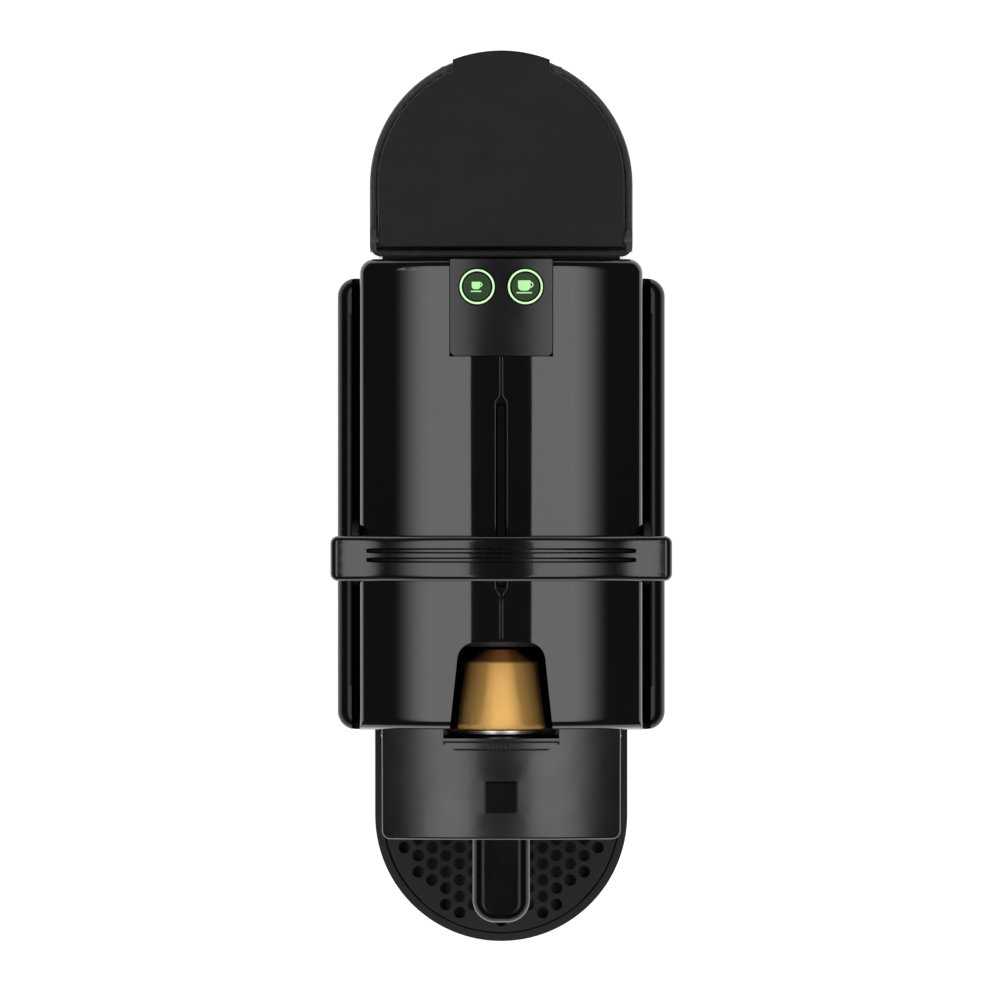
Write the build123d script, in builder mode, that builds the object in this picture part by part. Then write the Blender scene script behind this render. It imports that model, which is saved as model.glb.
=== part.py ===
from build123d import *
from math import cos, radians, sin
import os

os.makedirs("parts", exist_ok=True)

# A pod coffee machine, in millimetres. +Z is up, the cup side faces -Y, +X is the right-hand
# side seen from above with the cup side nearest. The origin is on the table, at the middle of
# the machine's outline. The lever stands raised at rest, with a capsule dropped in its slot.

# Driving dimensions
wall = 2.2                    # moulded casing wall
gap = 0.4                     # clearance between pieces that move past each other
case_half_width = 58.0        # over the side shells
case_front, case_rear = -79.5, 80.5
case_top = 208.0
case_corner = 6.5
foot_height = 3.0
floor_top = 8.0               # top of the base plate's floor
shell_half_width = 50.0       # gloss top shell
shell_front, shell_rear = -79.0, 87.0
shell_skirt, shell_crown, shell_arch = 207.4, 228.0, 120.0
tank_radius = 46.5
tank_centre = 113.5
tank_front = 88.0
tank_bottom, tank_top = 22.0, 210.0
lid_top = 214.5
nose_half_width, nose_front = 42.5, -119.0
spout_half_width, spout_front = 10.3, -150.5
spout_bottom, spout_high = 118.0, 147.0
bay_top = 119.0               # underside of the overhanging nose
support_radius = 46.5
support_centre = -114.3
support_top, support_bottom = 50.0, 37.0
hinge_y, hinge_z = -95.2, 43.0
container_half_width, container_front, container_rear = 44.0, -86.0, -22.0
axis_z = 180.0                # brewing axis, along Y
capsule_radius, shoulder_radius, tip_radius, flange_radius = 15.6, 12.8, 4.8, 19.0
flange_y, shoulder_y, capsule_tip = -81.2, -55.6, -51.4
cage_travel = 29.2
cage_front = -50.2            # open end of the cage, lever raised
cage_radius, cage_bore = 21.0, 16.6
pivot_y, pivot_z = -23.4, 176.0
lever_swing = 66.0
bar_y, bar_crown = -18.6, 267.0   # the raised grip bar's ridge
bar_half_width, bar_depth, bar_thick = 59.8, 15.8, 12.5
bar_arch_half, bar_end_drop = 40.0, 10.2
groove_turn = 23.0            # half the angle that the grip's grooves run round its arch
arm_tip_z = 251.0
arm_inner, arm_outer = 50.45, 52.55
crank_radius = cage_travel / 2 / sin(radians(lever_swing / 2))
crank_y = pivot_y + crank_radius * sin(radians(lever_swing / 2))
crank_z = pivot_z + crank_radius * cos(radians(lever_swing / 2))
button_y, button_spacing = 77.0, 17.0
button_travel = 1.5
groove_floor = 196.0          # lowest edge of the notches that the closed arms pass through
sides = (-1, 1)
lifted = (Align.CENTER, Align.CENTER, Align.MIN)


def save(part, name):
    """Label a finished piece and write its STEP file."""
    part.label = name
    export_step(part, f"parts/{name}.step")


def d_outline(radius, centre_y, straight_y):
    """A D outline: a half disc at centre_y, run straight to straight_y."""
    turn = 0 if straight_y < centre_y else 180
    with BuildLine() as outline:
        left, right = (-radius, centre_y), (radius, centre_y)
        near_left, near_right = (-radius, straight_y), (radius, straight_y)
        Line(near_left, near_right)
        Line(near_right, right)
        CenterArc((0, centre_y), radius, turn, 180)
        Line(left, near_left)
    make_face(outline.edges())


# ---- Base -----------------------------------------------------------------------------------
# The base plate carries the machine, and its tail carries the tank.
tail_radius = tank_radius - 2.3
with BuildPart() as base_plate:
    with BuildSketch(Plane.XY.offset(foot_height)):
        with Locations((0, (case_front + case_rear) / 2)):
            floor_size = (2 * (case_half_width - wall), case_rear - case_front - 2 * wall)
            RectangleRounded(*floor_size, case_corner - wall)
        d_outline(tail_radius, tank_centre, case_rear - 10)
    extrude(amount=floor_top - foot_height)
    with BuildSketch(Plane.XY.offset(floor_top)):
        d_outline(tail_radius, tank_centre, case_rear + 1)
        offset(amount=-wall, mode=Mode.SUBTRACT)
    extrude(amount=tank_bottom - 2 - floor_top)
    with BuildSketch(Plane.XY.offset(tank_bottom - 4)):
        d_outline(tail_radius, tank_centre, case_rear + 1)
    extrude(amount=2)
    with Locations((0, 104, tank_bottom - 2)):
        Hole(radius=9.0, depth=3)
    with Locations(*[(x, y, foot_height) for x in (-45, 45) for y in (-68, 68)], (0, 148, foot_height)):
        Cylinder(6.2, 1.5, align=lifted, mode=Mode.SUBTRACT)
save(base_plate.part, "base_plate")

with BuildPart() as rubber_feet:
    with Locations(*[(x, y, 0) for x in (-45, 45) for y in (-68, 68)], (0, 148, 0)):
        Cylinder(6.0, foot_height + 1.4, align=lifted)
    chamfer(rubber_feet.edges().group_by(Axis.Z)[0], 0.8)
save(rubber_feet.part, "rubber_feet")

# ---- Casing ---------------------------------------------------------------------------------
# Each side shell is a C in plan: a flank with a front and a rear return, and a narrow top lip
# that stops short of the top shell, which leaves the groove that the lever arm swings in.
screw_places = [(side * 46.6, z) for side in sides for z in (30, 110, 190)]
for side, name in zip(sides, ("left_side_shell", "right_side_shell")):
    with BuildPart() as side_shell:
        with BuildSketch(Plane.XY.offset(foot_height)):
            with Locations((0, (case_front + case_rear) / 2)):
                RectangleRounded(2 * case_half_width, case_rear - case_front, case_corner)
        extrude(amount=case_top - foot_height)
        fillet(side_shell.faces().sort_by(Axis.Z)[-1].edges(), 5.0)
        with BuildSketch(Plane.XY.offset(foot_height)):
            with Locations((0, (case_front + case_rear) / 2)):
                inner_width, inner_depth = 2 * (case_half_width - wall), case_rear - case_front - 2 * wall
                RectangleRounded(inner_width, inner_depth, case_corner - wall)
        extrude(amount=case_top - foot_height - wall, mode=Mode.SUBTRACT)
        with Locations((0, 0, case_top - wall)):
            Box(2 * shell_half_width, 400, 20, align=lifted, mode=Mode.SUBTRACT)
        with Locations((side * (shell_half_width + arm_outer + gap) / 2, 0, groove_floor)):
            Box(arm_outer + gap - shell_half_width, 400, 20, align=lifted, mode=Mode.SUBTRACT)
        with BuildSketch(Plane.XZ.offset(100)):
            with Locations((0, (foot_height + bay_top) / 2)):
                Rectangle(2 * (container_half_width + 0.6), bay_top - foot_height)
            with Locations((0, 150)):
                Rectangle(2 * (nose_half_width + 0.6), 120)
        extrude(amount=-200, mode=Mode.SUBTRACT)
        with Locations((side * -100, 0, 100)):
            Box(200, 400, 400, mode=Mode.SUBTRACT)
        with Locations(*[(x, case_rear, z) for x, z in screw_places]):
            Cylinder(1.5, 20, rotation=(90, 0, 0), mode=Mode.SUBTRACT)
    save(side_shell.part, name)


def arch(height, half_width):
    """The arched cross-section of the top shell, from its skirt up, height below the crown."""
    crown = shell_crown - height
    edge = crown - shell_arch + (shell_arch**2 - half_width**2) ** 0.5
    with BuildLine() as outline:
        ThreePointArc((-half_width, edge), (0, crown), (half_width, edge))
        Line((half_width, edge), (half_width, shell_skirt))
        Line((half_width, shell_skirt), (-half_width, shell_skirt))
        Line((-half_width, shell_skirt), (-half_width, edge))
    make_face(outline.edges())


# The gloss top shell: an arch with rolled edges, open for the buttons, the seam and the capsule.
panel_half_width, panel_front, panel_floor = 18.0, 52.7, 222.2
slot_rear, mouth_rear, mouth_front = -48.2, 14.9, 18.5
with BuildPart() as top_shell:
    with BuildSketch(Plane.XZ.offset(-shell_rear)):
        arch(0, shell_half_width)
    extrude(amount=shell_rear - shell_front)
    upright = top_shell.edges().filter_by(Axis.Z)
    fillet(upright.sort_by(Axis.Y)[-2:], 5.0)
    fillet(top_shell.faces().sort_by(Axis.Z)[-1].edges(), 4.2)
    with BuildSketch(Plane.XZ.offset(-shell_rear + wall)):
        arch(wall, shell_half_width - wall)
    extrude(amount=shell_rear - shell_front - 2 * wall, mode=Mode.SUBTRACT)
    with Locations((0, panel_front - 0.3, panel_floor)):
        Box(2 * panel_half_width + 0.6, 60, 30, align=(Align.CENTER, Align.MIN, Align.MIN), mode=Mode.SUBTRACT)
    with BuildSketch(Plane.XY.offset(200)):
        with Locations((0, 3.5)):
            SlotCenterToCenter(61, 3.9, rotation=90)
        with BuildLine():
            Polyline((-mouth_front, -82), (mouth_front, -82))
            half_mouth = FilletPolyline((0, slot_rear), (mouth_rear, slot_rear), (mouth_front, -82), radius=6.5)
            mirror(half_mouth, about=Plane.YZ)
        make_face()
    extrude(amount=40, mode=Mode.SUBTRACT)
    with BuildSketch(Plane.XY.offset(shell_crown - 0.9)):
        with Locations((0, 44), (0, -37)):
            Rectangle(0.7, 20)
    extrude(amount=3, mode=Mode.SUBTRACT)
save(top_shell.part, "top_shell")

with BuildPart() as seam_strip:
    with BuildSketch(Plane.XY.offset(shell_crown - 2.4)):
        with Locations((0, 3.5)):
            SlotCenterToCenter(61, 3.3, rotation=90)
    extrude(amount=1.9)
    chamfer(seam_strip.edges().group_by(Axis.Z)[-1], 0.4)
save(seam_strip.part, "seam_strip")

with BuildPart() as button_panel:
    with BuildSketch(Plane.XZ.offset(-shell_rear + 0.3)):
        arch(0.5, panel_half_width)
    extrude(amount=shell_rear - panel_front - 0.3)
    fillet(button_panel.edges().filter_by(Axis.Z).group_by(Axis.Y)[0], 2.0)
    with Locations((0, 70, panel_floor + 0.1)):
        Box(60, 60, 30, align=(Align.CENTER, Align.CENTER, Align.MAX), mode=Mode.SUBTRACT)
    with Locations(*[(side * button_spacing / 2, button_y, 215) for side in sides]):
        Cylinder(6.7, 40, mode=Mode.SUBTRACT)
save(button_panel.part, "button_panel")

# The rear cover closes the back between the side shells, behind the tank.
with BuildPart() as back_cover:
    with Locations((0, case_rear - wall - gap, floor_top + gap)):
        Box(2 * nose_half_width + 12, 2.2, 194, align=(Align.CENTER, Align.MAX, Align.MIN))
    with Locations((0, case_rear, floor_top + 12)):
        Box(2 * nose_half_width - 1, wall + gap, 182, align=(Align.CENTER, Align.MAX, Align.MIN))
    with Locations((0, case_rear - 1.15, 34)):
        Box(24, 20, 20, mode=Mode.SUBTRACT)
    with Locations(*[(x, case_rear, z) for x, z in screw_places]):
        Cylinder(1.5, 20, rotation=(90, 0, 0), mode=Mode.SUBTRACT)
save(back_cover.part, "back_cover")

# The mains inlet, a moulded socket low in the rear cover.
with BuildPart() as mains_inlet:
    with Locations((0, case_rear - 8.0, 34)):
        Box(23.2, 17.2, 19.2)
    fillet(mains_inlet.edges().filter_by(Axis.Y), 2.0)
    with BuildSketch(Plane.XZ.offset(-case_rear - 1)):
        with Locations((0, 34)):
            SlotCenterToCenter(9.0, 9.5)
    extrude(amount=12, mode=Mode.SUBTRACT)
    with Locations(*[(side * 4.3, case_rear - 6, 34) for side in sides]):
        Cylinder(1.2, 12, rotation=(90, 0, 0))
save(mains_inlet.part, "mains_inlet")

# ---- Water tank -----------------------------------------------------------------------------
lid_hinge_y, lid_hinge_z = tank_front + 5.5, tank_top + 1.6
with BuildPart() as water_tank:
    with BuildSketch(Plane.XY.offset(tank_bottom)):
        d_outline(tank_radius, tank_centre, tank_front)
    extrude(amount=tank_top - tank_bottom)
    fillet(water_tank.edges().filter_by(Axis.Z).group_by(Axis.Y)[0], 4.0)
    fillet(water_tank.faces().sort_by(Axis.Z)[0].edges(), 3.0)
    with BuildSketch(Plane.XY.offset(tank_bottom + wall)):
        d_outline(tank_radius - wall, tank_centre, tank_front + wall)
    extrude(amount=tank_top, mode=Mode.SUBTRACT)
    chamfer(water_tank.faces().sort_by(Axis.Z)[-1].edges(), 0.5)
    with Locations((0, 104, tank_bottom)):
        Hole(radius=8.0, depth=6)
    with Locations(*[(side * 20.5, 154.0, tank_top - 5) for side in sides]):
        Cylinder(1.3, 6, align=lifted)
    with Locations(*[(side * (tank_radius - 1.2), tank_front + 5.4, tank_top - 1) for side in sides]):
        Box(2.2, 8, lid_top - tank_top + 0.6, align=lifted)
    with Locations((0, lid_hinge_y, lid_hinge_z)):
        Cylinder(1.2, 200, rotation=(0, 90, 0), mode=Mode.SUBTRACT)
save(water_tank.part, "water_tank")

# The lid lies inside the tank's rim and hinges on two pins at its straight edge. A finger tab
# runs out over the rim at the back.
tab_half_width = 17.2
with BuildPart() as tank_lid:
    with BuildSketch(Plane.XY.offset(tank_top + 0.4)):
        with Locations((0, tank_centre)):
            Circle(tank_radius + 0.8)
        with Locations((0, tank_centre + tank_radius)):
            Rectangle(2 * tab_half_width, 30, mode=Mode.INTERSECT)
        d_outline(tank_radius - 3.0, tank_centre, tank_front + 3.0)
    extrude(amount=lid_top - tank_top - 0.4)
    fillet(tank_lid.edges().group_by(Axis.Z)[-1], 0.8)
    with BuildSketch(Plane.XY.offset(tank_top - 3.5)):
        d_outline(tank_radius - 3.0, tank_centre, tank_front + 3.0)
    extrude(amount=4.5)
    with BuildSketch(Plane.XY.offset(tank_top - 3.5)):
        d_outline(tank_radius - 4.8, tank_centre, tank_front + 4.8)
    extrude(amount=3.9, mode=Mode.SUBTRACT)
    with Locations((0, lid_hinge_y, lid_hinge_z)):
        Cylinder(1.35, 200, rotation=(0, 90, 0), mode=Mode.SUBTRACT)
save(tank_lid.part, "tank_lid")

with BuildPart() as lid_pins:
    with Locations(*[(side * 42.4, lid_hinge_y, lid_hinge_z) for side in sides]):
        Cylinder(1.2, 7.6, rotation=(0, 90, 0))
save(lid_pins.part, "lid_pins")

with BuildPart() as tank_valve:
    with BuildSketch(Plane.XZ.offset(-104)):
        with BuildLine():
            Polyline((0, 20.6), (5.5, 20.6), (7.8, 22), (7.8, 24.3), (11, 24.3), (11, 26), (7, 26), (5, 31),
                     (0, 31), close=True)
        make_face()
    revolve(axis=Axis((0, 104, 0), (0, 0, 1)))
save(tank_valve.part, "tank_valve")

with BuildPart() as dock_seal:
    with Locations((0, 104, 13)):
        Cylinder(8.9, 6.8, align=lifted)
        Cylinder(4.5, 6.8, align=lifted, mode=Mode.SUBTRACT)
save(dock_seal.part, "dock_seal")

# ---- Chassis --------------------------------------------------------------------------------
# Two side plates, a bulkhead behind the capsule container and a deck over it, which carries
# the brewing unit and lets used capsules fall through.
deck_z = 124.0
with BuildPart() as chassis:
    with Locations(*[(side * 48.2, -1, floor_top) for side in sides]):
        Box(2.4, 148, 165 - floor_top, align=lifted)
    with Locations(*[(side * 48.2, pivot_y, 160) for side in sides]):
        Box(2.4, 22, 26, align=lifted)
    with Locations((0, -1, deck_z)):
        Box(96, 148, 3, align=lifted)
    with Locations((0, container_rear + 7, floor_top)):
        Box(96, 2.4, deck_z - floor_top, align=lifted)
    with Locations((0, -52, deck_z)):
        Box(46, 60, 20, mode=Mode.SUBTRACT)
    with Locations((0, pivot_y, pivot_z)):
        Cylinder(6.0, 200, rotation=(0, 90, 0), mode=Mode.SUBTRACT)
    with Locations((-12, 34, deck_z)):
        Cylinder(4.0, 20, mode=Mode.SUBTRACT)
save(chassis.part, "chassis")

with BuildPart() as pivot_bushes:
    with Locations(*[(side * 48.2, pivot_y, pivot_z) for side in sides]):
        Cylinder(6.0, 3.4, rotation=(0, 90, 0))
        Cylinder(4.05, 3.4, rotation=(0, 90, 0), mode=Mode.SUBTRACT)
save(pivot_bushes.part, "pivot_bushes")

# ---- Lever ----------------------------------------------------------------------------------
# Two steel arms, each with its pivot stub and a crank pin that drives the cage's yoke.
with BuildPart() as lever_arms:
    for side in sides:
        with BuildSketch(Plane.YZ.offset(side * (arm_inner + arm_outer) / 2)):
            with Locations((pivot_y, pivot_z)):
                Circle(8.0)
            with Locations((crank_y, crank_z)):
                Circle(5.0)
            with Locations((bar_y, arm_tip_z)):
                Circle(4.4)
            make_hull()
        extrude(amount=(arm_outer - arm_inner) / 2, both=True)
    with Locations(*[(side * 49.3, pivot_y, pivot_z) for side in sides]):
        Cylinder(4.0, 5.4, rotation=(0, 90, 0))
    with Locations(*[(side * 47.5, crank_y, crank_z) for side in sides]):
        Cylinder(2.5, 9.0, rotation=(0, 90, 0))
save(lever_arms.part, "lever_arms")

# The grip is an arched bar over both arm ends, grooved along its upper face.
def bar_curve(ridge, half_width):
    """The bar's arch and its level ends, with the ridge at the given height."""
    drop = shell_arch - (shell_arch**2 - bar_arch_half**2) ** 0.5
    slope = bar_arch_half / (shell_arch - drop)
    left, right = (-bar_arch_half, ridge - drop), (bar_arch_half, ridge - drop)
    left_end, right_end = (-half_width, ridge - bar_end_drop), (half_width, ridge - bar_end_drop)
    Spline(left_end, left, tangents=[(1, 0), (1, slope)])
    ThreePointArc(left, (0, ridge), right)
    Spline(right, right_end, tangents=[(1, -slope), (1, 0)])


with BuildPart() as lever_grip:
    with BuildSketch(Plane.XZ.offset(-bar_y)):
        with BuildLine():
            bar_curve(bar_crown, bar_half_width)
            bar_curve(bar_crown - bar_thick, bar_half_width)
            for side in sides:
                end_top = (side * bar_half_width, bar_crown - bar_end_drop)
                Line(end_top, (side * bar_half_width, bar_crown - bar_end_drop - bar_thick))
        make_face()
    extrude(amount=bar_depth / 2, both=True)
    fillet(lever_grip.edges(), 2.6)
    arch_centre = (0, 0, bar_crown - shell_arch)
    turn = radians(groove_turn)
    with BuildSketch(Plane(origin=arch_centre, x_dir=(0, 1, 0), z_dir=(cos(turn), 0, sin(turn)))):
        with Locations(*[(groove_y, shell_arch) for groove_y in (bar_y + 2.7, bar_y - 0.5)]):
            Circle(0.95)
    revolve(axis=Axis(arch_centre, (0, 1, 0)), revolution_arc=2 * groove_turn, mode=Mode.SUBTRACT)
    for side in sides:
        with BuildSketch(Plane.YZ.offset(side * (arm_inner + arm_outer) / 2)):
            with Locations((bar_y, arm_tip_z)):
                Circle(4.4)
            with Locations((bar_y, arm_tip_z - 10)):
                Rectangle(bar_depth, 20)
        extrude(amount=(arm_outer - arm_inner) / 2, both=True, mode=Mode.SUBTRACT)
save(lever_grip.part, "lever_grip")

# ---- Brewing unit ---------------------------------------------------------------------------
# The cage is a cup that slides forward over the capsule. A cross beam carries a yoke plate at
# each end, whose upright slot the lever's crank pin drives.
cage_back = cage_front + 43.0
beam_z = 190.0
plate_thick = 1.6
with BuildPart() as capsule_cage:
    with BuildSketch(Plane.XZ.offset(-cage_back)):
        with Locations((0, axis_z)):
            Circle(cage_radius)
    extrude(amount=cage_back - cage_front)
    fillet(capsule_cage.edges().filter_by(GeomType.CIRCLE).group_by(Axis.Y)[0], 1.5)
    with BuildSketch(Plane.XZ.offset(-cage_front)):
        with Locations((0, axis_z)):
            Circle(cage_bore)
    extrude(amount=-(cage_travel + 0.6 + plate_thick), mode=Mode.SUBTRACT)
    with Locations((0, cage_back - 5.5, beam_z)):
        Box(92, 9.0, 8.0)
    with Locations(*[(side * 44.7, crank_y, 199.0) for side in sides]):
        Box(2.6, 15, 26)
    with Locations(*[(side * 24, cage_back - 21.5, axis_z - 4) for side in sides]):
        Box(11, 42, 6)
    with BuildSketch(Plane.YZ.offset(-60)):
        with Locations((crank_y, 200.9)):
            SlotOverall(13.4, 5.9, rotation=90)
    extrude(amount=120, mode=Mode.SUBTRACT)
    with Locations((0, cage_back - 8, axis_z)):
        Cylinder(2.0, 40, rotation=(90, 0, 0), mode=Mode.SUBTRACT)
save(capsule_cage.part, "capsule_cage")

# The water plate sits in the bottom of the cage and has three jets.
with BuildPart() as piercing_plate:
    with Locations((0, cage_front + cage_travel + 0.6, axis_z)):
        Cylinder(cage_bore, plate_thick, rotation=(90, 0, 0), align=(Align.CENTER, Align.CENTER, Align.MAX))
        with PolarLocations(5.0, 3):
            Cylinder(0.8, 8, rotation=(90, 0, 0), mode=Mode.SUBTRACT)
save(piercing_plate.part, "piercing_plate")

# The brewing frame guides the cage and closes the brewing chamber at the front.
frame_front, frame_rear = -90.5, 8.0
with BuildPart() as brew_frame:
    with Locations(*[(side * 32.0, (frame_front + frame_rear) / 2, deck_z + 3) for side in sides]):
        Box(4.0, frame_rear - frame_front, 72, align=lifted)
    with Locations((0, frame_front, deck_z + 20)):
        Box(68, 3.9, 44, align=(Align.CENTER, Align.MIN, Align.MIN))
    with Locations((0, frame_rear - 4, deck_z + 3)):
        Box(68, 4, 66, align=(Align.CENTER, Align.MIN, Align.MIN))
    with Locations(*[(side * 28.2, -36, axis_z - 11) for side in sides]):
        Box(4.4, 84, 3.6, align=lifted)
    with Locations((0, frame_front - 1, 187.5)):
        Box(100, 14.5, 30, align=(Align.CENTER, Align.MIN, Align.MIN), mode=Mode.SUBTRACT)
    with Locations((0, -28, beam_z + 7)):
        Box(100, 52, 25, mode=Mode.SUBTRACT)
    with Locations((0, frame_front, axis_z)):
        Cylinder(7.0, 20, rotation=(90, 0, 0), mode=Mode.SUBTRACT)
    with Locations((0, frame_rear, axis_z)):
        Cylinder(6.0, 20, rotation=(90, 0, 0), mode=Mode.SUBTRACT)
save(brew_frame.part, "brew_frame")

with BuildPart() as extraction_plate:
    with Locations((0, frame_front + 3.9, axis_z)):
        Cylinder(13.5, 4.0, rotation=(90, 0, 0), align=(Align.CENTER, Align.CENTER, Align.MAX))
    with BuildSketch(Plane.XZ.offset(-frame_front - 3)):
        with Locations((0, axis_z)):
            with HexLocations(1.6, 5, 5):
                Circle(0.8)
    extrude(amount=20, both=True, mode=Mode.SUBTRACT)
save(extraction_plate.part, "extraction_plate")

# The capsule guide is a U that holds the capsule's flange in front of the extraction plate.
with BuildPart() as capsule_guide:
    with BuildSketch(Plane.XZ.offset(79.9)):
        with Locations((0, 173)):
            Rectangle(2 * 29.9, 34)
        with Locations((0, axis_z)):
            Circle(flange_radius + 0.35, mode=Mode.SUBTRACT)
        with Locations((0, axis_z + 15)):
            Rectangle(2 * flange_radius + 0.7, 30, mode=Mode.SUBTRACT)
    extrude(amount=1.9)
save(capsule_guide.part, "capsule_guide")

# ---- Capsule --------------------------------------------------------------------------------
foil = 0.3
with BuildPart() as capsule_body:
    with BuildSketch(Plane.YZ):
        with BuildLine():
            Polyline((flange_y + foil, axis_z), (flange_y + foil, axis_z + flange_radius),
                     (flange_y + 1.2, axis_z + flange_radius), (flange_y + 1.2, axis_z + capsule_radius),
                     (shoulder_y, axis_z + shoulder_radius), (capsule_tip, axis_z + tip_radius),
                     (capsule_tip, axis_z), close=True)
        make_face()
        with BuildLine():
            Polyline((flange_y, axis_z), (flange_y, axis_z + capsule_radius - 0.9),
                     (shoulder_y - 0.5, axis_z + shoulder_radius - 0.9),
                     (capsule_tip - 1.2, axis_z + tip_radius - 0.6), (capsule_tip - 1.2, axis_z), close=True)
        make_face(mode=Mode.SUBTRACT)
    revolve(axis=Axis((0, 0, axis_z), (0, 1, 0)))
save(capsule_body.part, "capsule_body")

with BuildPart() as capsule_foil:
    with Locations((0, flange_y, axis_z)):
        Cylinder(flange_radius - 0.4, foil, rotation=(90, 0, 0), align=(Align.CENTER, Align.CENTER, Align.MAX))
save(capsule_foil.part, "capsule_foil")

# ---- Nose and coffee outlet -----------------------------------------------------------------
nose_rear, nose_high, nose_slope = -79.5, 202.0, 0.3
badge_y, badge_side, badge_sink = -103.8, 11.4, 0.6
nose_length = nose_rear - nose_front


def nose_top(y):
    """Height of the ridge of the nose's sloping face at y."""
    return nose_high - (nose_rear - y) * nose_slope


def nose_section(half_width, crown, bottom):
    """The nose's arched cross-section, with the same arch as the top shell."""
    edge = crown - shell_arch + (shell_arch**2 - half_width**2) ** 0.5
    with BuildLine() as outline:
        ThreePointArc((-half_width, edge), (0, crown), (half_width, edge))
        Polyline((half_width, edge), (half_width, bottom), (-half_width, bottom), (-half_width, edge))
    make_face(outline.edges())


downhill = Vector(0, -1, -nose_slope)
badge_plane = Plane(origin=(0, badge_y, nose_top(badge_y)), x_dir=(1, 0, 0), z_dir=(0, -nose_slope, 1))
with BuildPart() as nose_cover:
    with BuildSketch(Plane.XZ.offset(-nose_rear)):
        nose_section(nose_half_width, nose_high, 60)
    extrude(amount=nose_length * downhill.length, dir=downhill)
    with Locations((0, 0, bay_top)):
        Box(200, 400, 100, align=(Align.CENTER, Align.CENTER, Align.MAX), mode=Mode.SUBTRACT)
    fillet(nose_cover.edges().filter_by(Axis.Z).group_by(Axis.Y)[0], 3.0)
    fillet(nose_cover.faces().sort_by(Axis.Y)[0].edges().group_by(Axis.Z)[-1], 1.2)
    with BuildSketch(Plane.XZ.offset(-nose_rear - 1)):
        nose_section(nose_half_width - wall, nose_top(nose_rear + 1) - wall - 0.1, 60)
    extrude(amount=(nose_length - 1 - wall) * downhill.length, dir=downhill, mode=Mode.SUBTRACT)
    with Locations((0, -98, bay_top)):
        Box(2 * (nose_half_width - wall), 37.5, wall, align=(Align.CENTER, Align.CENTER, Align.MIN))
    with Locations((0, nose_rear, 178)):
        Box(2 * (flange_radius + 1.6), 6.6, 60, align=lifted, mode=Mode.SUBTRACT)
    with BuildSketch(Plane.XY.offset(nose_top(-85.4) - 1.6)):
        with Locations((0, -85.4)):
            Rectangle(41.4, 3.4)
            Rectangle(39.8, 2.0, mode=Mode.SUBTRACT)
    extrude(amount=6, mode=Mode.SUBTRACT)
    with BuildSketch(badge_plane.offset(-badge_sink)):
        RectangleRounded(badge_side + 0.5, badge_side + 0.5, 0.9)
    extrude(amount=5, mode=Mode.SUBTRACT)
    with BuildSketch(Plane.XY.offset(bay_top - 1)):
        with Locations((0, -100)):
            Rectangle(30, 24)
    extrude(amount=8, mode=Mode.SUBTRACT)
    with BuildSketch(Plane.XZ.offset(-nose_front - 6)):
        with Locations((0, 133)):
            Rectangle(2 * spout_half_width + 0.6, 28.6)
    extrude(amount=20, mode=Mode.SUBTRACT)
save(nose_cover.part, "nose_cover")

with BuildPart() as badge:
    with BuildSketch(badge_plane.offset(-badge_sink)):
        RectangleRounded(badge_side, badge_side, 0.8)
    extrude(amount=badge_sink + 0.5)
    chamfer(badge.faces().sort_by(Axis.Z)[-1].edges(), 0.25)
save(badge.part, "badge")

# The coffee outlet is a rounded beak that runs forward out of the nose, open underneath, fed by the
# collector that hangs in front of the brewing chamber.
with BuildPart() as coffee_spout:
    with BuildSketch(Plane.YZ):
        with BuildLine():
            Polyline((spout_front, spout_bottom), (nose_front + 6, spout_bottom), (nose_front + 6, spout_high),
                     (spout_front, spout_high - 8), close=True)
        make_face()
    extrude(amount=spout_half_width, both=True)
    fillet(coffee_spout.edges().filter_by(Axis.Z).group_by(Axis.Y)[0], 8.2)
    upper = coffee_spout.faces().sort_by(Axis.Z)[-1].edges()
    fillet(upper.sort_by(Axis.Y)[:-1], 4.5)
    with BuildSketch(Plane.XY.offset(spout_bottom)):
        with Locations((0, -131.5)):
            SlotOverall(32, 2 * spout_half_width - 3.2, rotation=90)
    extrude(amount=7, mode=Mode.SUBTRACT)
    with BuildSketch(Plane.XY.offset(spout_bottom)):
        with Locations((-4, -142), (4, -142)):
            Circle(2.6)
            Circle(1.6, mode=Mode.SUBTRACT)
    extrude(amount=8)
save(coffee_spout.part, "coffee_spout")

with BuildPart() as coffee_collector:
    with Locations((0, frame_front - 0.2, axis_z)):
        Cylinder(5.5, 6.5, rotation=(90, 0, 0), align=(Align.CENTER, Align.CENTER, Align.MIN))
    with Locations((0, -98.5, 127)):
        Cylinder(6.8, 50, align=lifted)
        Cylinder(5.4, 48, align=lifted, mode=Mode.SUBTRACT)
    with Locations((0, frame_front, axis_z - 3)):
        Cylinder(2.2, 14, rotation=(90, 0, 0), mode=Mode.SUBTRACT)
save(coffee_collector.part, "coffee_collector")

# ---- Drip tray and used capsules ------------------------------------------------------------
# One drawer slides out at the front: a sled with the drip basin, and the capsule container.
sled_z = floor_top + gap
with BuildPart() as drip_base:
    with BuildSketch(Plane.XY.offset(sled_z)):
        with Locations((0, (container_front + container_rear) / 2 - 1)):
            Rectangle(2 * container_half_width - 4, container_rear - container_front)
    extrude(amount=3)
    with BuildSketch(Plane.XY.offset(foot_height - 2.4)):
        d_outline(support_radius - 1.0, support_centre, container_front - gap)
    extrude(amount=17)
    fillet(drip_base.edges().group_by(Axis.Z)[-1], 1.0)
    with BuildSketch(Plane.XY.offset(foot_height)):
        d_outline(support_radius - 3.2, support_centre, container_front - 3)
    extrude(amount=30, mode=Mode.SUBTRACT)
save(drip_base.part, "drip_base")

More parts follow.
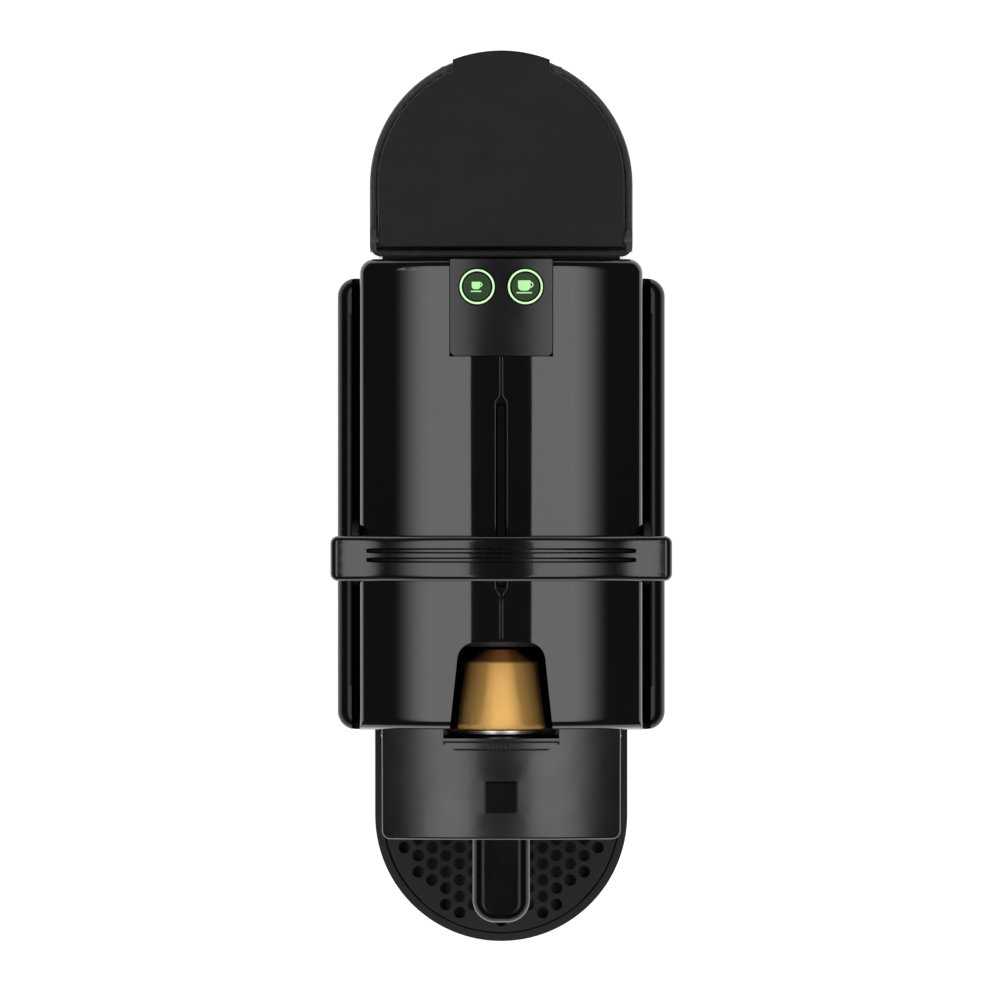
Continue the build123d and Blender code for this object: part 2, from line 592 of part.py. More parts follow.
with BuildPart() as capsule_container:
    with BuildSketch(Plane.XY.offset(sled_z + 3.4)):
        with Locations((0, (container_front + container_rear) / 2)):
            RectangleRounded(2 * container_half_width, container_rear - container_front, 5)
    extrude(amount=bay_top - 2 - sled_z - 3.4)
    with BuildSketch(Plane.XY.offset(sled_z + 5.4)):
        with Locations((0, (container_front + container_rear) / 2)):
            RectangleRounded(2 * container_half_width - 4, container_rear - container_front - 4, 3)
    extrude(amount=120, mode=Mode.SUBTRACT)
    with Locations(*[(side * 37, container_front + 0.5, hinge_z) for side in sides]):
        Box(5, container_front + 0.5 - hinge_y, 7.2, align=(Align.CENTER, Align.MAX, Align.CENTER))
    with Locations(*[(side * 37, hinge_y, hinge_z) for side in sides]):
        Cylinder(3.6, 5, rotation=(0, 90, 0))
    with Locations((0, hinge_y, hinge_z)):
        Cylinder(1.6, 200, rotation=(0, 90, 0), mode=Mode.SUBTRACT)
save(capsule_container.part, "capsule_container")

with BuildPart() as support_hinge_pin:
    with Locations((0, hinge_y, hinge_z)):
        Cylinder(1.6, 80, rotation=(0, 90, 0))
save(support_hinge_pin.part, "support_hinge_pin")

# The cup support is a D tray on the hinge, with a perforated plate let into its rim.
plate_radius = support_radius - 3.0
support_rear = hinge_y - 5.2
cheek_rear = -82.5            # the tray's side cheeks run back past the hinge
with BuildPart() as cup_support:
    with BuildSketch(Plane.XY.offset(support_bottom)):
        d_outline(support_radius, support_centre, support_rear)
    extrude(amount=support_top - support_bottom)
    fillet(cup_support.faces().sort_by(Axis.Z)[0].edges(), 3.0)
    with BuildSketch(Plane.XY.offset(support_bottom + 2)):
        d_outline(support_radius - 4.4, support_centre, support_rear - 2.5)
    extrude(amount=30, mode=Mode.SUBTRACT)
    with BuildSketch(Plane.XY.offset(support_top - 2.2)):
        d_outline(plate_radius + 0.3, support_centre, support_rear - 1.3)
    extrude(amount=30, mode=Mode.SUBTRACT)
    with BuildSketch(Plane.XY.offset(support_bottom)):
        cheek_length = cheek_rear - support_rear + 8
        with Locations(*[(side * (support_radius - 1.05), cheek_rear - cheek_length / 2) for side in sides]):
            Rectangle(2.1, cheek_length)
    extrude(amount=support_top - support_bottom)
    with Locations((0, hinge_y, hinge_z)):
        Cylinder(4.0, 66, rotation=(0, 90, 0))
    with Locations((0, hinge_y - 3, hinge_z)):
        Box(66, 6, 6)
    with Locations((0, hinge_y, hinge_z)):
        Cylinder(1.75, 200, rotation=(0, 90, 0), mode=Mode.SUBTRACT)
save(cup_support.part, "cup_support")

# Its round holes stand in staggered columns.
grid_column, grid_pitch, grid_hole = 5.1, 6.0, 2.15
rim = plate_radius - 4.2
holes = []
for column in range(-8, 9):
    for row in range(-12, 9):
        x = column * grid_column
        y = support_centre - 9 + (row + 0.5 * (column % 2)) * grid_pitch
        in_disc = y <= support_centre and x**2 + (y - support_centre) ** 2 < rim**2
        in_straight = support_centre < y < hinge_y - 10 and abs(x) < rim
        if in_disc or in_straight:
            holes.append((x, y))
with BuildPart() as drip_grid:
    with BuildSketch(Plane.XY.offset(support_top - 2.2)):
        d_outline(plate_radius, support_centre, support_rear - 1.6)
        with Locations(*holes):
            Circle(grid_hole, mode=Mode.SUBTRACT)
    extrude(amount=1.8)
    fillet(drip_grid.faces().sort_by(Axis.Z)[-1].outer_wire().edges(), 0.5)
save(drip_grid.part, "drip_grid")

# ---- Buttons --------------------------------------------------------------------------------
panel_top = shell_crown - 1.2
board_z = 204.0
for side, name in zip(sides, ("small_cup_button", "large_cup_button")):
    x = side * button_spacing / 2
    with BuildPart() as button:
        with Locations((x, button_y, panel_top - 4.2)):
            Cylinder(4.9, 5.0, align=lifted)
        fillet(button.edges().group_by(Axis.Z)[-1], 0.5)
        with Locations((x, button_y, board_z + 5.6)):
            Cylinder(2.2, panel_top - board_z - 9, align=lifted)
    save(button.part, name)

with BuildPart() as light_rings:
    with Locations(*[(side * button_spacing / 2, button_y, panel_top - 9) for side in sides]):
        Cylinder(6.6, 9.3, align=lifted)
        Cylinder(5.15, 12, align=lifted, mode=Mode.SUBTRACT)
save(light_rings.part, "light_rings")

with BuildPart() as circuit_board:
    with Locations((0, 62, board_z)):
        Box(66, 42, 1.6)
    with Locations(*[(x, 50, board_z - 0.8) for x in (-22, -8, 8, 22)]):
        Box(8, 10, 5, align=(Align.CENTER, Align.CENTER, Align.MAX))
save(circuit_board.part, "circuit_board")

with BuildPart() as button_domes:
    with Locations(*[(side * button_spacing / 2, button_y, board_z + 0.8) for side in sides]):
        Cylinder(4.5, 1.2, align=lifted)
        Cylinder(2.4, 3.1, align=lifted)
save(button_domes.part, "button_domes")

# ---- Water circuit --------------------------------------------------------------------------
pump_x, pump_y, pump_z = -12.0, 34.0, 58.0
with BuildPart() as pump:
    with Locations((pump_x, pump_y, pump_z)):
        Cylinder(19, 46, rotation=(90, 0, 0))
        Box(34, 30, 44)
        Cylinder(5, 60, rotation=(90, 0, 0))
save(pump.part, "pump")

with BuildPart() as pump_mounts:
    with Locations(*[(pump_x + side * 11, pump_y, floor_top) for side in sides]):
        Box(8, 24, pump_z - 22 - floor_top, align=lifted)
save(pump_mounts.part, "pump_mounts")

with BuildPart() as thermoblock:
    with Locations((0, 42, 158)):
        Box(58, 44, 48)
    fillet(thermoblock.edges().filter_by(Axis.Z), 5)
    with Locations(*[(0, 42, 140 + 9 * fin) for fin in range(5)]):
        Box(62, 48, 3)
    with Locations((0, 42, deck_z + 3)):
        Box(40, 30, 8, align=lifted)
    with Locations((pump_x, 34, deck_z)):
        Cylinder(3.6, 6, align=lifted)
save(thermoblock.part, "thermoblock")

with BuildPart() as flow_meter:
    with Locations((28, 34, floor_top)):
        Cylinder(13, 22, align=lifted)
        Cylinder(4, 32, align=lifted)
save(flow_meter.part, "flow_meter")


def hose(name, *route):
    """A hose along straight runs joined by round bends."""
    with BuildPart() as tube:
        with BuildLine() as path:
            FilletPolyline(*route, radius=5)
        with BuildSketch(Plane(origin=path.line @ 0, z_dir=path.line % 0)):
            Circle(2.6)
        sweep(path=path.line)
    save(tube.part, name)


pump_in, pump_out = pump_y + 30, pump_y - 30
hose("suction_hose", (28, 34, floor_top + 32), (28, 34, pump_z), (28, 71, pump_z), (pump_x, 71, pump_z),
     (pump_x, pump_in, pump_z))
hose("pressure_hose", (pump_x, pump_out, pump_z), (pump_x, -6, pump_z), (pump_x, -6, 112), (pump_x, 34, 112),
     (pump_x, 34, deck_z))

with BuildPart() as rear_screws:
    for x, z in screw_places:
        with Locations((x, case_rear, z)):
            Cylinder(1.5, 8.0, rotation=(90, 0, 0))
            Cylinder(3.0, 1.3, rotation=(90, 0, 0), align=(Align.CENTER, Align.CENTER, Align.MAX))
save(rear_screws.part, "rear_screws")
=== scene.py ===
import math

import bpy
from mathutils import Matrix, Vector


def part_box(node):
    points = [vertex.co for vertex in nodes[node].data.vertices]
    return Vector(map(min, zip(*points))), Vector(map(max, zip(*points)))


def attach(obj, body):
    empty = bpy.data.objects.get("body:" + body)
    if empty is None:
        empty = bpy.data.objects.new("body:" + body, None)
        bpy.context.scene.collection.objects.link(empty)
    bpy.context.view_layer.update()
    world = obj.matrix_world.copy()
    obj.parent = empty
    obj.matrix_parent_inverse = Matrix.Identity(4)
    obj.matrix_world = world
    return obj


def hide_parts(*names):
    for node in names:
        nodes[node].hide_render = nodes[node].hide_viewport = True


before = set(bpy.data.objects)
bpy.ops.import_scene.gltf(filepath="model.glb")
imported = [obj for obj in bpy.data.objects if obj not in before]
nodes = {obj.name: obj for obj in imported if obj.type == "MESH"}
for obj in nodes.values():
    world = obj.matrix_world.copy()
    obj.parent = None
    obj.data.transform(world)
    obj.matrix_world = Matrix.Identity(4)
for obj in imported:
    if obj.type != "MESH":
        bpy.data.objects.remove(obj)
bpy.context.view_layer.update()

# A compact pod coffee machine: gloss and satin black ABS shells, a smoked copolyester tank, a raised
# lever over the capsule slot and a folding cup support. The CAD nodes carry the shapes; this script
# gives them their finishes and adds the fine pieces that only show.

MM = 0.001


# ---- Colour and node helpers ----------------------------------------------------------------
def linear(colour):
    """An sRGB hex colour, such as "1a1a1b", as linear RGBA."""
    channels = [int(colour[i:i + 2], 16) / 255 for i in (0, 2, 4)]
    return tuple(c / 12.92 if c <= 0.04045 else ((c + 0.055) / 1.055) ** 2.4 for c in channels) + (1.0,)


def add(tree, kind, settings=None, **links):
    """Add a node with its settings and inputs. A link's value is a socket or a constant."""
    node = tree.nodes.new(kind)
    for name, value in (settings or {}).items():
        setattr(node, name, value)
    for name, value in links.items():
        socket = node.inputs[int(name[1:])] if name[1:].isdigit() else node.inputs[name.replace("_", " ")]
        if isinstance(value, bpy.types.NodeSocket):
            tree.links.new(value, socket)
        else:
            socket.default_value = value
    return node


def new_material(name):
    """A material with an empty tree, its Principled shader and its Object coordinates."""
    material = bpy.data.materials.new(name)
    material.use_nodes = True
    tree = material.node_tree
    tree.nodes.clear()
    shader = add(tree, "ShaderNodeBsdfPrincipled")
    output = add(tree, "ShaderNodeOutputMaterial")
    tree.links.new(shader.outputs["BSDF"], output.inputs["Surface"])
    place = add(tree, "ShaderNodeTexCoord").outputs["Object"]
    return material, tree, shader, place


def ramp(tree, value, *stops):
    """A colour ramp from value through (position, grey) stops."""
    node = add(tree, "ShaderNodeValToRGB", _0=value)
    elements = node.color_ramp.elements
    while len(elements) < len(stops):
        elements.new(0.5)
    for element, (position, grey) in zip(elements, stops):
        element.position = position
        element.color = (grey, grey, grey, 1.0)
    return node.outputs["Color"]


def mix(tree, factor, first, second):
    """Blend two colours by a factor."""
    node = add(tree, "ShaderNodeMix", {"data_type": "RGBA"}, _0=factor, _6=first, _7=second)
    return node.outputs[2]


# ---- Materials ------------------------------------------------------------------------------
def moulded_plastic(name, colour, worn, roughness, grain_mm, grain_depth, coat=0.0, specular=0.5):
    """Injection-moulded plastic: one colour that drifts slightly, a spark-eroded grain of grain_mm,
    and a roughness that varies where hands and cloths polish it."""
    material, tree, shader, place = new_material(name)
    drift = add(tree, "ShaderNodeTexNoise", Vector=place, Scale=28.0, Detail=4.0)
    smudge = add(tree, "ShaderNodeTexNoise", Vector=place, Scale=70.0, Detail=6.0, Roughness=0.62)
    grain = add(tree, "ShaderNodeTexNoise", Vector=place, Scale=1.0 / (grain_mm * MM), Detail=2.0)
    tone = ramp(tree, drift.outputs["Fac"], (0.35, 0.0), (0.7, 1.0))
    tree.links.new(mix(tree, tone, linear(colour), linear(worn)), shader.inputs["Base Color"])
    spread = add(tree, "ShaderNodeMapRange", Value=smudge.outputs["Fac"], From_Min=0.3, From_Max=0.75,
                 To_Min=roughness * 0.86, To_Max=roughness * 1.18)
    tree.links.new(spread.outputs["Result"], shader.inputs["Roughness"])
    bump = add(tree, "ShaderNodeBump", Strength=1.0, Distance=grain_depth * MM, Height=grain.outputs["Fac"])
    tree.links.new(bump.outputs["Normal"], shader.inputs["Normal"])
    shader.inputs["IOR"].default_value = 1.53
    shader.inputs["Specular IOR Level"].default_value = specular
    shader.inputs["Coat Weight"].default_value = coat
    shader.inputs["Coat Roughness"].default_value = 0.03
    return material


def brushed_metal(name, colour, roughness, direction, line_mm=0.12):
    """Brushed or drawn metal: fine scratches along one direction, with a satin spread."""
    material, tree, shader, place = new_material(name)
    stretch = [1.0, 1.0, 1.0]
    stretch["XYZ".index(direction)] = 0.02
    lines = add(tree, "ShaderNodeMapping", Vector=place, Scale=stretch)
    scratch = add(tree, "ShaderNodeTexNoise", Vector=lines.outputs["Vector"], Scale=1.0 / (line_mm * MM),
                  Detail=3.0)
    stain = add(tree, "ShaderNodeTexNoise", Vector=place, Scale=60.0, Detail=4.0)
    darker = tuple(c * 0.82 for c in linear(colour)[:3]) + (1.0,)
    tree.links.new(mix(tree, stain.outputs["Fac"], linear(colour), darker), shader.inputs["Base Color"])
    spread = add(tree, "ShaderNodeMapRange", Value=scratch.outputs["Fac"], From_Min=0.3, From_Max=0.7,
                 To_Min=roughness * 0.8, To_Max=roughness * 1.25)
    tree.links.new(spread.outputs["Result"], shader.inputs["Roughness"])
    bump = add(tree, "ShaderNodeBump", Strength=0.5, Distance=0.02 * MM, Height=scratch.outputs["Fac"])
    tree.links.new(bump.outputs["Normal"], shader.inputs["Normal"])
    shader.inputs["Metallic"].default_value = 1.0
    return material


def smoked_copolyester():
    """Smoked clear copolyester, blow-moulded: dark, glossy and slightly uneven."""
    material, tree, shader, place = new_material("smoked copolyester")
    ripple = add(tree, "ShaderNodeTexNoise", Vector=place, Scale=45.0, Detail=2.0)
    tint = ramp(tree, ripple.outputs["Fac"], (0.3, 0.42), (0.75, 0.5))
    tree.links.new(tint, shader.inputs["Base Color"])
    bump = add(tree, "ShaderNodeBump", Strength=0.25, Distance=0.2 * MM, Height=ripple.outputs["Fac"])
    tree.links.new(bump.outputs["Normal"], shader.inputs["Normal"])
    shader.inputs["Transmission Weight"].default_value = 0.85
    shader.inputs["Roughness"].default_value = 0.04
    shader.inputs["IOR"].default_value = 1.57
    return material


def anodised_aluminium(name, colour, shade, roughness, metallic=1.0):
    """Deep-drawn anodised aluminium: coloured metal with faint draw lines round the capsule. A tinted
    lacquer over it scatters part of the light, so it is less than fully metallic."""
    material, tree, shader, place = new_material(name)
    wave = add(tree, "ShaderNodeTexNoise", Vector=place, Scale=420.0, Detail=3.0)
    stain = add(tree, "ShaderNodeTexNoise", Vector=place, Scale=120.0, Detail=3.0)
    tree.links.new(mix(tree, stain.outputs["Fac"], linear(colour), linear(shade)), shader.inputs["Base Color"])
    spread = add(tree, "ShaderNodeMapRange", Value=wave.outputs["Fac"], To_Min=roughness * 0.75,
                 To_Max=roughness * 1.3)
    tree.links.new(spread.outputs["Result"], shader.inputs["Roughness"])
    bump = add(tree, "ShaderNodeBump", Strength=0.4, Distance=0.03 * MM, Height=wave.outputs["Fac"])
    tree.links.new(bump.outputs["Normal"], shader.inputs["Normal"])
    shader.inputs["Metallic"].default_value = metallic
    return material


def backlit(name, colour, strength, low, high):
    """Back-lit polycarbonate: the lamp behind it glows unevenly through the moulding."""
    material, tree, shader, place = new_material(name)
    cloud = add(tree, "ShaderNodeTexNoise", Vector=place, Scale=260.0, Detail=2.0)
    glow = ramp(tree, cloud.outputs["Fac"], (0.3, low), (0.75, high))
    tint = mix(tree, glow, (0.0, 0.0, 0.0, 1.0), linear(colour))
    tree.links.new(tint, shader.inputs["Emission Color"])
    tree.links.new(tint, shader.inputs["Base Color"])
    shader.inputs["Emission Strength"].default_value = strength
    shader.inputs["Roughness"].default_value = 0.3
    return material


def solder_mask():
    """Green solder mask over copper tracks on the circuit board."""
    material, tree, shader, place = new_material("solder mask")
    tracks = add(tree, "ShaderNodeTexBrick", {"offset": 0.4}, Vector=place, Scale=260.0, Mortar_Size=0.04,
                 Color1=linear("0b3d22"), Color2=linear("0e4a2a"), Mortar=linear("1c6b40"))
    tree.links.new(tracks.outputs["Color"], shader.inputs["Base Color"])
    shader.inputs["Roughness"].default_value = 0.35
    return material


gloss_black = moulded_plastic("gloss black ABS", "050506", "08080a", 0.05, 2.5, 0.002, coat=0.6)
side_black = moulded_plastic("semi-gloss black ABS", "060607", "0a0a0b", 0.2, 0.9, 0.005, specular=0.3)
satin_black = moulded_plastic("satin black ABS", "101011", "141415", 0.2, 0.45, 0.006, specular=0.85)
grip_black = moulded_plastic("polished grip ABS", "070708", "0b0b0c", 0.13, 1.2, 0.004, coat=0.5)
# A lighter grey than the other blacks, for the seam beads: a painted highlight along the seam edges, on top of
# the real highlights their rounded bevels catch.
seam_painted_highlight = moulded_plastic("seam bead grey, painted highlight", "1c1c1d", "222223", 0.1, 1.5, 0.002, coat=1.0)
lid_satin = moulded_plastic("satin tank lid ABS", "0f0f10", "131314", 0.42, 0.4, 0.01, specular=0.3)
tray_black = moulded_plastic("matt black ABS", "0b0b0c", "101011", 0.42, 0.5, 0.012, specular=0.4)
panel_black = moulded_plastic("satin panel ABS", "101011", "141415", 0.22, 0.45, 0.006, specular=0.5)
frame_grey = moulded_plastic("glass-filled polyamide", "26272a", "2e2f32", 0.55, 0.35, 0.02)
black_rubber = moulded_plastic("black rubber", "121212", "1a1a1a", 0.8, 0.6, 0.03)
silicone = moulded_plastic("silicone tube", "b9b8b2", "cfcec8", 0.4, 1.2, 0.01)
board_mask = solder_mask()
steel = brushed_metal("brushed steel", "8f9092", 0.3, "Z")
zinc_steel = brushed_metal("zinc-plated steel", "a9aaac", 0.35, "Y")
pump_steel = brushed_metal("drawn pump can", "6c6d70", 0.4, "Y")
cast_metal = moulded_plastic("cast aluminium", "9b9c9e", "8a8b8d", 0.45, 0.8, 0.05)
cast_metal.node_tree.nodes["Principled BSDF"].inputs["Metallic"].default_value = 1.0
gold = anodised_aluminium("gold anodised aluminium", "ffcb78", "f6ba62", 0.42, metallic=0.35)
# The cone's darker brown is painted shade: it darkens the steep rear-facing slope that the overhead light only
# grazes.
cone_painted_shade = anodised_aluminium("gold cone darkened as painted shade", "c88446", "b6743a", 0.5, metallic=0.3)
foil = anodised_aluminium("aluminium foil", "efece6", "dedad2", 0.3)
smoked = smoked_copolyester()
ring_glow = backlit("lit green ring", "c2f0b4", 0.95, 0.8, 1.0)
face_glow = backlit("dim green button face", "22381d", 0.7, 0.75, 1.0)
icon_glow = backlit("lit green icon", "a4dc96", 0.9, 0.8, 1.0)

FINISHES = {
    "top_shell": gloss_black, "left_side_shell": side_black, "right_side_shell": side_black,
    "seam_strip": gloss_black, "coffee_spout": side_black, "nose_cover": satin_black, "badge": side_black,
    "button_panel": panel_black, "tank_lid": lid_satin, "base_plate": satin_black, "back_cover": satin_black,
    "cup_support": tray_black, "drip_grid": tray_black, "drip_base": tray_black, "capsule_container": tray_black,
    "water_tank": smoked, "lever_arms": steel, "lever_grip": grip_black, "pivot_bushes": zinc_steel,
    "extraction_plate": steel, "piercing_plate": steel, "lid_pins": steel, "support_hinge_pin": steel,
    "rear_screws": zinc_steel, "chassis": frame_grey, "brew_frame": frame_grey, "capsule_guide": frame_grey,
    "capsule_cage": frame_grey, "coffee_collector": frame_grey, "tank_valve": frame_grey,
    "flow_meter": frame_grey, "mains_inlet": frame_grey, "rubber_feet": black_rubber, "dock_seal": black_rubber,
    "pump_mounts": black_rubber, "button_domes": black_rubber, "suction_hose": silicone,
    "pressure_hose": silicone, "small_cup_button": face_glow, "large_cup_button": face_glow,
    "light_rings": side_black, "thermoblock": cast_metal, "pump": pump_steel, "circuit_board": board_mask,
    "capsule_body": gold, "capsule_foil": foil,
}
for name, finish in FINISHES.items():
    slots = nodes[name].data.materials
    if not slots:
        slots.append(finish)
    for index in range(len(slots)):
        slots[index] = finish


# ---- Modelling helpers ----------------------------------------------------------------------
def begin():
    """Nothing selected, so an operator acts only on what is added next."""
    bpy.ops.object.select_all(action="DESELECT")


def settle(name, finish, body, smooth=35.0):
    """Apply the active object's place, name it, give it its finish and its body."""
    piece = bpy.context.active_object
    bpy.ops.object.transform_apply(location=True, rotation=True, scale=True)
    piece.name = piece.data.name = name
    piece.data.materials.clear()
    piece.data.materials.append(finish)
    bpy.ops.object.shade_smooth_by_angle(angle=math.radians(smooth))
    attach(piece, body)
    piece.select_set(False)
    return piece


def bevelled(width, segments=3, angle=30.0):
    """Round the active object's edges and apply it."""
    piece = bpy.context.active_object
    modifier = piece.modifiers.new("Bevel", "BEVEL")
    modifier.width = width
    modifier.segments = segments
    modifier.limit_method = "ANGLE"
    modifier.angle_limit = math.radians(angle)
    bpy.ops.object.modifier_apply(modifier=modifier.name)


def block(name, centre, size, finish, body, bevel=0.0003, segments=3, turn=(0.0, 0.0, 0.0)):
    """A box with rounded edges."""
    begin()
    bpy.ops.mesh.primitive_cube_add(size=1.0, location=centre, rotation=turn)
    bpy.context.active_object.scale = size
    bpy.ops.object.transform_apply(location=False, rotation=False, scale=True)
    bevelled(bevel, segments)
    return settle(name, finish, body)


def turned(name, profile, origin, finish, body, steps=96):
    """A turned piece: a vertex is extruded along the profile's (radius, y) points, then spun about
    the line through origin along Y."""
    begin()
    bpy.ops.mesh.primitive_plane_add(size=0.001)
    piece = bpy.context.active_object
    bpy.ops.object.mode_set(mode="EDIT")
    bpy.ops.mesh.select_all(action="SELECT")
    bpy.ops.mesh.merge(type="CENTER")
    start = (profile[0][0], profile[0][1], 0.0)
    bpy.ops.transform.translate(value=start)
    for (radius, y), (next_radius, next_y) in zip(profile, profile[1:]):
        step = (next_radius - radius, next_y - y, 0.0)
        bpy.ops.mesh.extrude_vertices_move(TRANSFORM_OT_translate={"value": step})
    bpy.ops.mesh.select_all(action="SELECT")
    bpy.ops.mesh.spin(steps=steps, angle=2 * math.pi, center=(0.0, 0.0, 0.0), axis=(0.0, 1.0, 0.0))
    bpy.ops.mesh.select_all(action="SELECT")
    bpy.ops.mesh.remove_doubles(threshold=0.00002)
    bpy.ops.mesh.normals_make_consistent(inside=False)
    bpy.ops.object.mode_set(mode="OBJECT")
    piece.location = origin
    return settle(name, finish, body)


# ---- Capsule --------------------------------------------------------------------------------
capsule_low, capsule_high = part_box("capsule_body")
capsule_x = (capsule_low[0] + capsule_high[0]) / 2
capsule_z = (capsule_low[2] + capsule_high[2]) / 2
capsule_origin = (capsule_x, 0.0, capsule_z)
flange, tip = capsule_low[1], capsule_high[1]
shoulder = tip - 4.2 * MM
body_profile = [
    (0.0186, flange), (0.0190, flange + 0.0004), (0.0190, flange + 0.0007), (0.0186, flange + 0.0011),
    (0.0166, flange + 0.0011), (0.0160, flange + 0.0014), (0.0156, flange + 0.0024), (0.0148, flange + 0.0090),
    (0.0139, flange + 0.0160), (0.0131, shoulder - 0.0022), (0.0128, shoulder - 0.0006), (0.0120, shoulder)]
cone_profile = [
    (0.0120, shoulder), (0.0112, shoulder + 0.0004), (0.0064, tip - 0.0006), (0.0056, tip - 0.0001),
    (0.0048, tip - 0.0002), (0.0040, tip - 0.0008), (0.0, tip - 0.0008)]
capsule_shell = turned("capsule_shell", body_profile, capsule_origin, gold, "capsule")
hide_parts("capsule_body")
# The cone takes the darker brown, painted shade on its rear-facing slope.
turned("capsule_cone", cone_profile, capsule_origin, cone_painted_shade, "capsule")
rim_profile = [
    (0.0167, flange + 0.0012), (0.0189, flange + 0.0012), (0.0193, flange + 0.0008), (0.0193, flange + 0.0002),
    (0.0189, flange - 0.0001), (0.0182, flange)]
turned("capsule_rim", rim_profile, capsule_origin, foil, "capsule")

# ---- Button icons ---------------------------------------------------------------------------
icon_height = 0.25 * MM


def cup_icon(name, node, cup_width, cup_depth, body):
    """A plain cup seen from the side, lying on the button: bowl, ear and saucer line."""
    low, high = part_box(node)
    x, y, top = (low[0] + high[0]) / 2, (low[1] + high[1]) / 2, high[2]
    begin()
    bpy.ops.mesh.primitive_cube_add(size=1.0, location=(x - 0.4 * MM, y + 0.4 * MM, top + icon_height / 2))
    bowl = bpy.context.active_object
    bowl.scale = (cup_width, cup_depth, icon_height)
    bpy.ops.object.transform_apply(location=False, rotation=False, scale=True)
    bpy.ops.object.mode_set(mode="EDIT")
    bpy.ops.mesh.select_all(action="DESELECT")
    bpy.ops.object.mode_set(mode="OBJECT")
    for edge in bowl.data.edges:
        ends = [bowl.data.vertices[i].co for i in edge.vertices]
        edge.select = abs(ends[0].z - ends[1].z) > icon_height / 2 and ends[0].y < 0
    bpy.ops.object.mode_set(mode="EDIT")
    bpy.ops.mesh.select_mode(type="EDGE")
    bpy.ops.mesh.bevel(offset=cup_width * 0.34, segments=6)
    bpy.ops.object.mode_set(mode="OBJECT")
    settle(name + "_bowl", icon_glow, body)
    begin()
    ear = cup_width * 0.2
    bpy.ops.mesh.primitive_torus_add(major_radius=ear, minor_radius=0.2 * MM, major_segments=24, minor_segments=8,
                                     location=(x - 0.4 * MM + cup_width / 2, y + 0.7 * MM, top + icon_height / 2))
    bpy.context.active_object.scale = (1.0, 1.0, 0.6)
    settle(name + "_ear", icon_glow, body)
    saucer_centre = (x - 0.4 * MM, y + 0.4 * MM - cup_depth / 2 - 0.75 * MM, top + icon_height / 2)
    block(name + "_saucer", saucer_centre, (cup_width * 1.25, 0.45 * MM, icon_height), icon_glow, body,
          bevel=0.1 * MM)


cup_icon("small_cup_icon", "small_cup_button", 3.0 * MM, 2.6 * MM, "small_button")
cup_icon("large_cup_icon", "large_cup_button", 4.4 * MM, 3.6 * MM, "large_button")

for side, name in ((-1, "small"), (1, "large")):
    low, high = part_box(f"{name}_cup_button")
    centre = ((low[0] + high[0]) / 2, (low[1] + high[1]) / 2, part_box("light_rings")[1][2])
    begin()
    bpy.ops.mesh.primitive_torus_add(major_radius=5.8 * MM, minor_radius=0.36 * MM, major_segments=96,
                                     minor_segments=12, location=centre)
    settle(f"{name}_button_ring", ring_glow, "root")

# ---- Trim -----------------------------------------------------------------------------------
side_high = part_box("right_side_shell")[1]
strip_low, strip_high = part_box("seam_strip")
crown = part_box("top_shell")[1][2]
slot_edge = strip_high[0] + 0.45 * MM


def bead(name, start, end, width, finish, height=0.5):
    """A fine raised line between two points, rounded so that it catches the light."""
    run = (end[0] - start[0], end[1] - start[1])
    centre = ((start[0] + end[0]) / 2, (start[1] + end[1]) / 2, start[2])
    size = (width, math.hypot(*run), height * MM)
    heading = -math.atan2(run[0], run[1])
    block(name, centre, size, finish, "root", bevel=width * 0.3, turn=(0.0, 0.0, heading))


seam_z = crown - 0.05 * MM
throat = 2.6 * MM
rear_y, front_y = strip_high[1] + 0.6 * MM, strip_low[1] - 0.6 * MM
panel_y, mouth_y = 52.4 * MM, -47.0 * MM
for side, name in ((-1, "left"), (1, "right")):
    rail_x, rail_z = side * 53.4 * MM, side_high[2] + 0.05 * MM
    bead(f"groove_bead_{name}", (rail_x, -64 * MM, rail_z), (rail_x, 68 * MM, rail_z), 0.7 * MM, side_black)
    seam_x, edge_x = side * 0.5 * MM, side * slot_edge
    line = [(seam_x, panel_y), (seam_x, rear_y + throat), (edge_x, rear_y), (edge_x, front_y),
            (seam_x, front_y - throat), (seam_x, mouth_y)]
    for part, (start, end) in enumerate(zip(line, line[1:])):
        # The seam beads take the lighter grey, a painted highlight along the seam.
        bead(f"seam_bead_{name}_{part}", (*end, seam_z), (*start, seam_z), 0.35 * MM, seam_painted_highlight)

rib_y, rib_z = -85.4 * MM, 199.0 * MM
for rib in range(7):
    centre = ((rib - 3) * 1.5 * MM, rib_y, rib_z)
    block(f"nose_rib_{rib}", centre, (0.6 * MM, 2.4 * MM, 2.6 * MM), gloss_black, "root",
          bevel=0.15 * MM)

# ---- Stage, lights and camera ---------------------------------------------------------------
begin()
bpy.ops.mesh.primitive_plane_add(size=60.0, location=(0.0, 0.0, 0.0))
floor = bpy.context.active_object
floor.name = "floor"
paper, paper_tree, paper_shader, paper_place = new_material("white paper sweep")
fibre = add(paper_tree, "ShaderNodeTexNoise", Vector=paper_place, Scale=900.0, Detail=2.0)
paper_tone = ramp(paper_tree, fibre.outputs["Fac"], (0.3, 0.86), (0.7, 0.9))
paper_tree.links.new(paper_tone, paper_shader.inputs["Base Color"])
paper_shader.inputs["Roughness"].default_value = 0.9
paper_shader.inputs["Emission Color"].default_value = (1.0, 1.0, 1.0, 1.0)
paper_shader.inputs["Emission Strength"].default_value = 0.85
floor.data.materials.append(paper)


def softbox(name, x, width, length, radiance):
    """A long strip light over the object, facing straight down."""
    light = bpy.data.lights.new(name, "AREA")
    light.shape = "RECTANGLE"
    light.size = width
    light.size_y = length
    light.energy = radiance * math.pi * width * length
    lamp = bpy.data.objects.new(name, light)
    bpy.context.scene.collection.objects.link(lamp)
    lamp.location = (x, 0.0, LAMP_HEIGHT)


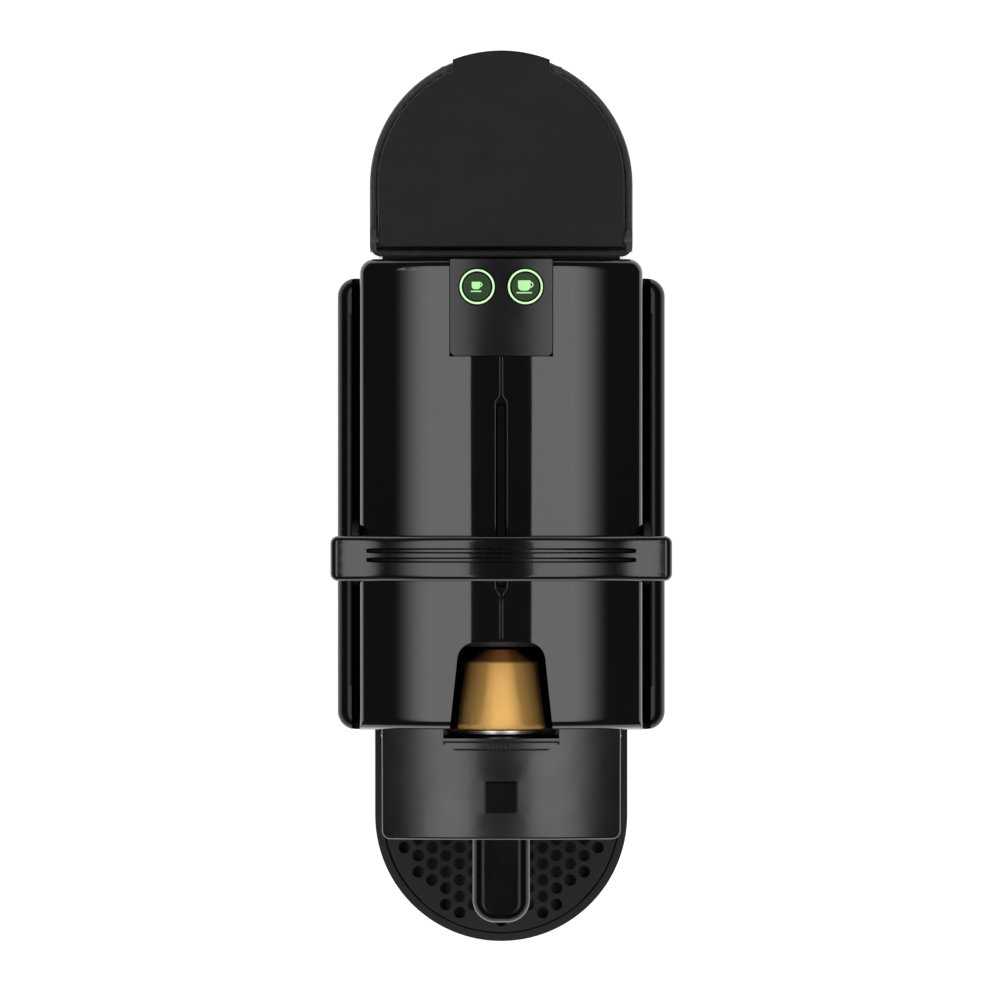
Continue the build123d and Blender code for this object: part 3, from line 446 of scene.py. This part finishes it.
# Two diffusers stand either side of a dark gap, and their outer sides fade out in narrow strips.
LAMP_HEIGHT, LAMP_LENGTH, RADIANCE = 1.5, 2.6, 1.9
LAMP_INNER, LAMP_FADE, LAMP_OUTER, FADE_STRIPS = 0.245, 0.60, 1.02, 14
for side in (-1, 1):
    body_width = LAMP_FADE - LAMP_INNER
    softbox(f"softbox_{side}", side * (LAMP_INNER + body_width / 2), body_width, LAMP_LENGTH, RADIANCE)
    strip = (LAMP_OUTER - LAMP_FADE) / FADE_STRIPS
    for index in range(FADE_STRIPS):
        share = (index + 0.5) / FADE_STRIPS
        level = 0.5 + 0.5 * math.cos(math.pi * share)
        softbox(f"softbox_{side}_{index}", side * (LAMP_FADE + strip * (index + 0.5)), strip, LAMP_LENGTH,
                RADIANCE * level)

# A pair of snooted lamps picks out the capsule alone.
for side in (-1, 1):
    snoot = bpy.data.lights.new(f"snoot_{side}", "SPOT")
    snoot.energy = 130.0
    snoot.spot_size = math.radians(2.0)
    snoot.spot_blend = 0.6
    snoot.shadow_soft_size = 0.05
    snoot_lamp = bpy.data.objects.new(f"snoot_{side}", snoot)
    bpy.context.scene.collection.objects.link(snoot_lamp)
    snoot_lamp.visible_glossy = False
    snoot_lamp.location = (side * 0.45, -0.12, LAMP_HEIGHT)
    aim = Vector((capsule_x, (flange + tip) / 2, capsule_z)) - snoot_lamp.location
    snoot_lamp.rotation_euler = aim.to_track_quat("-Z", "Y").to_euler()

world = bpy.data.worlds.new("studio")
bpy.context.scene.world = world
world.use_nodes = True
world.node_tree.nodes["Background"].inputs["Color"].default_value = (1.0, 1.0, 1.0, 1.0)
world.node_tree.nodes["Background"].inputs["Strength"].default_value = 0.06

camera_data = bpy.data.cameras.new("camera")
camera_data.sensor_width = 36.0
camera_data.lens = 385.6
camera_data.clip_end = 100.0
camera = bpy.data.objects.new("camera", camera_data)
camera.location = (-0.44 * MM, 1.85 * MM, 4.0)
bpy.context.scene.collection.objects.link(camera)
bpy.context.scene.camera = camera
bpy.context.scene.view_settings.view_transform = "Standard"
